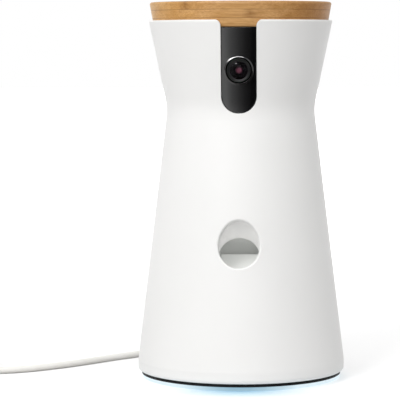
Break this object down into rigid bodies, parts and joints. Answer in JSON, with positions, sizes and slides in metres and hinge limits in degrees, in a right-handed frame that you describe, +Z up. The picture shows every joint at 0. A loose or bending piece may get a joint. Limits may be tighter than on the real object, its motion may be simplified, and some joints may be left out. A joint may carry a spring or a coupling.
{
  "type": "treat tossing pet camera",
  "caption": "Waisted round pet camera with a wooden lid, dark camera window and a hole that tosses treats, turning on a lit base with a power cord.",
  "frame": {"origin": "centre of the base on the floor", "axes": "+Z up along the pan axis, -Y towards the front with window and treat hole, +X to the right seen from the front"},
  "size_m": [0.285, 0.1564, 0.2225],
  "materials": {
    "black_plastic": "satin moulded",
    "rubber": "matte",
    "light_ring": "frosted translucent",
    "circuit": "solder mask",
    "steel": "plain",
    "grey_plastic": "moulded",
    "gear_plastic": "acetal",
    "cable_ribbon": "flat cable",
    "brass": "turned",
    "aluminium": "turned",
    "motor_steel": "plated",
    "white_shell": "fine satin",
    "bamboo": "clear satin lacquer",
    "wheel_plastic": "moulded",
    "chute_plastic": "moulded",
    "black_gloss": "polished",
    "lens_glass": "coated",
    "cord_plastic": "satin"
  },
  "bodies": {
    "base": {"base_plate": "black_plastic", "rubber_foot": "rubber", "light_ring": "light_ring", "lamp_board": "circuit", "power_socket": "steel", "pan_axle": "grey_plastic", "axle_clip": "steel", "fixed_pan_gear": "gear_plastic", "axle_screws": "steel", "wound_cable": "cable_ribbon", "lower_race": "steel", "reset_switch": "circuit", "cord_tube": "cord_plastic", "plug_device": "cord_plastic", "plug_relief": "cord_plastic", "cord_coil": "cord_plastic", "cord_tie": "black_plastic", "plug_supply": "cord_plastic"},
    "ball_ring": {"ball_cage": "gear_plastic", "bearing_balls": "steel"},
    "button": {"reset_button": "black_plastic"},
    "turret": {"upper_race": "steel", "chassis_plate": "grey_plastic", "pan_bush": "brass", "frame_posts": "aluminium", "middle_frame": "grey_plastic", "turret_screws": "steel", "pan_motor": "motor_steel", "outer_shell": "white_shell", "hopper": "grey_plastic", "hopper_legs": "grey_plastic", "hopper_baffle": "grey_plastic", "drop_tube": "grey_plastic", "feed_motor": "motor_steel", "launcher_housing": "chute_plastic", "treat_chute": "white_shell", "kicker_bushes": "brass", "kicker_spring": "steel", "launch_motor": "motor_steel", "gear_bracket": "grey_plastic", "window_panel": "black_gloss", "lens_bezel": "black_gloss", "lens_barrel": "black_plastic", "lens_glass": "lens_glass", "camera_board": "circuit", "camera_bracket": "grey_plastic", "rear_carrier": "grey_plastic", "main_board": "circuit", "speaker": "black_plastic"},
    "pan_drive": {"pan_pinion": "brass"},
    "lid": {"lid_disc": "bamboo", "lid_plug": "grey_plastic", "lid_gasket": "rubber"},
    "feed_rotor": {"feed_wheel": "wheel_plastic", "feed_gear": "gear_plastic"},
    "feed_drive": {"feed_pinion": "brass"},
    "kicker": {"kicker_plate": "chute_plastic", "kicker_shaft": "steel", "kicker_gear": "gear_plastic"},
    "winder": {"winding_gear": "gear_plastic"},
    "launch_drive": {"launch_pinion": "brass"}
  },
  "joints": [
    {"name": "pan", "type": "hinge", "parent": "base", "child": "turret", "pos_m": [0, 0, 0.0175], "axis": [0, 0, 1], "range_deg": [-180, 180]},
    {"name": "ball_ring_roll", "type": "hinge", "parent": "base", "child": "ball_ring", "pos_m": [0, 0, 0.0125], "axis": [0, 0, 1], "range_deg": [-90, 90]},
    {"name": "pan_pinion_spin", "type": "hinge", "parent": "turret", "child": "pan_drive", "pos_m": [-0.0288, 0, 0.01175], "axis": [0, 0, 1], "range_deg": [-900, 900]},
    {"name": "reset_press", "type": "slide", "parent": "base", "child": "button", "axis": [0, 0, 1], "range_m": [0, 0.0005], "stiffness_N_per_m": 400},
    {"name": "lid_lift", "type": "slide", "parent": "turret", "child": "lid", "axis": [0, 0, 1], "range_m": [0, 0.06]},
    {"name": "feed_spin", "type": "hinge", "parent": "turret", "child": "feed_rotor", "pos_m": [0, 0.005, 0.15], "axis": [0, 0, 1], "continuous": true},
    {"name": "feed_pinion_spin", "type": "hinge", "parent": "turret", "child": "feed_drive", "pos_m": [0.00849, 0.01349, 0.1453], "axis": [0, 0, 1], "continuous": true},
    {"name": "kicker_swing", "type": "hinge", "parent": "turret", "child": "kicker", "pos_m": [0, -0.032, 0.06], "axis": [1, 0, 0], "range_deg": [-45, 0], "stiffness_Nm_per_rad": 0.03},
    {"name": "winding_turn", "type": "hinge", "parent": "turret", "child": "winder", "pos_m": [0.018, -0.0154, 0.0574], "axis": [1, 0, 0], "range_deg": [0, 112.5]},
    {"name": "launch_pinion_turn", "type": "hinge", "parent": "turret", "child": "launch_drive", "pos_m": [0.021, -0.00183, 0.04497], "axis": [1, 0, 0], "range_deg": [-405, 0]}
  ],
  "couplings": [
    {"joint": "ball_ring_roll", "follows": "pan", "ratio": 0.5},
    {"joint": "pan_pinion_spin", "follows": "pan", "ratio": 5},
    {"joint": "feed_pinion_spin", "follows": "feed_spin", "ratio": -2},
    {"joint": "winding_turn", "follows": "kicker_swing", "ratio": -2.5},
    {"joint": "launch_pinion_turn", "follows": "kicker_swing", "ratio": 9}
  ]
}
